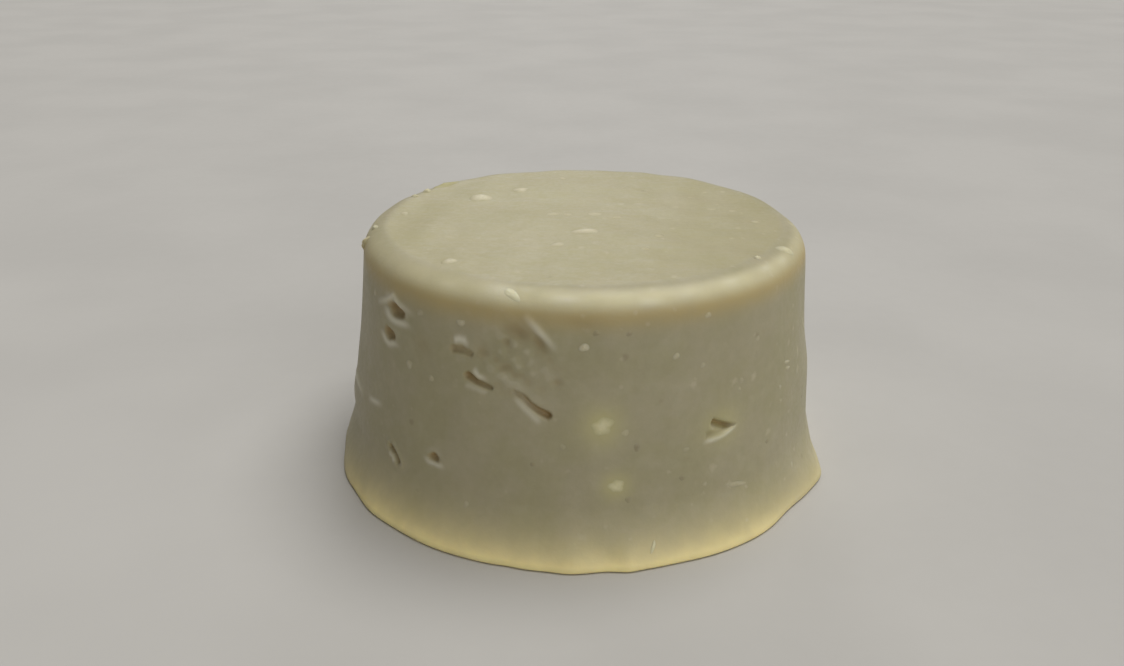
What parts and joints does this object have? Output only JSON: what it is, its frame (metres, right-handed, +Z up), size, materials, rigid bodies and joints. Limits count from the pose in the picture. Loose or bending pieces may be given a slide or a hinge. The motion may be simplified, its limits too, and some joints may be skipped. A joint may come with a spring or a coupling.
{
  "type": "shaving soap puck",
  "caption": "Round puck of hard shaving soap with a rounded rim, a drafted wall and a flared foot, with pale grains and open pits.",
  "frame": {"origin": "centre of the flat base that the puck stands on", "axes": "+Z up along the puck's round axis; the front, with the torn patch and the three-cornered pit, faces -Y; +X to the right of the front"},
  "size_m": [0.07, 0.07, 0.0343],
  "materials": {
    "soap": "satin, waxy, slightly translucent soap with a yellowish glow at thin edges",
    "grain": "pale waxy grain",
    "bloom": "pale crystalline fat bloom with a soft halo",
    "clay": "dark matte speck",
    "crumb": "pale dry soap crumb"
  },
  "bodies": {
    "root": {"soap_body": "soap", "top_grains": "grain", "wall_grains": "grain", "bloom_stars": "bloom", "clay_specks": "clay", "rim_shaving": "crumb", "rim_crumbs": "crumb", "foot_sliver": "crumb"}
  },
  "joints": []
}
